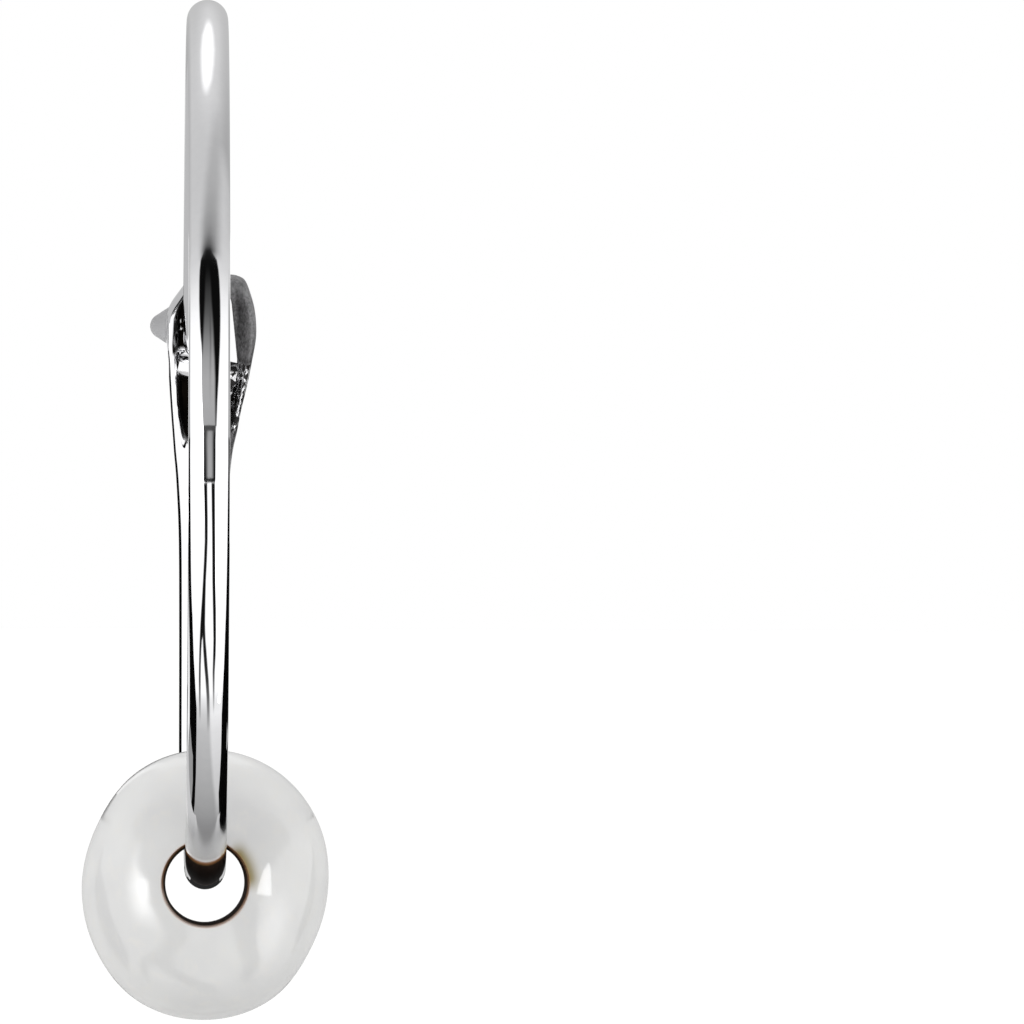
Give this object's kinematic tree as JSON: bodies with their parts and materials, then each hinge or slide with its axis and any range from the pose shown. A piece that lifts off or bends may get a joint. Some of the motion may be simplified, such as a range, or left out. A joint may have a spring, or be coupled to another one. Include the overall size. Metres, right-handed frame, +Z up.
{
  "type": "pearl huggie earring",
  "caption": "Round wire hoop earring that closes at the back with a hinged lever and catch, with a large-hole pearl hanging on its lowest point.",
  "frame": {"origin": "top of the hoop's inner side, the point that hangs in the ear", "axes": "+Z up, -Y towards the front of the earring as seen when worn, +X to the right of that view, across the hoop"},
  "size_m": [0.0058, 0.0215, 0.0243],
  "materials": {
    "polished_metal": "mirror polished white metal",
    "cast_metal": "polished outside, satin cast inside the catch",
    "nacre": "lustrous white nacre"
  },
  "bodies": {
    "hoop": {"hoop": "polished_metal"},
    "lever": {"lever": "cast_metal", "hinge_pin": "polished_metal"},
    "pearl": {"pearl": "nacre"}
  },
  "joints": [
    {"name": "lever_hinge", "type": "hinge", "parent": "hoop", "child": "lever", "pos_m": [0, 0.00535, -0.01818], "axis": [-1, 0, 0], "range_deg": [0, 40]},
    {"name": "pearl_swing", "type": "hinge", "parent": "hoop", "child": "pearl", "pos_m": [0, 0, -0.01971], "axis": [0, 1, 0], "continuous": true}
  ]
}
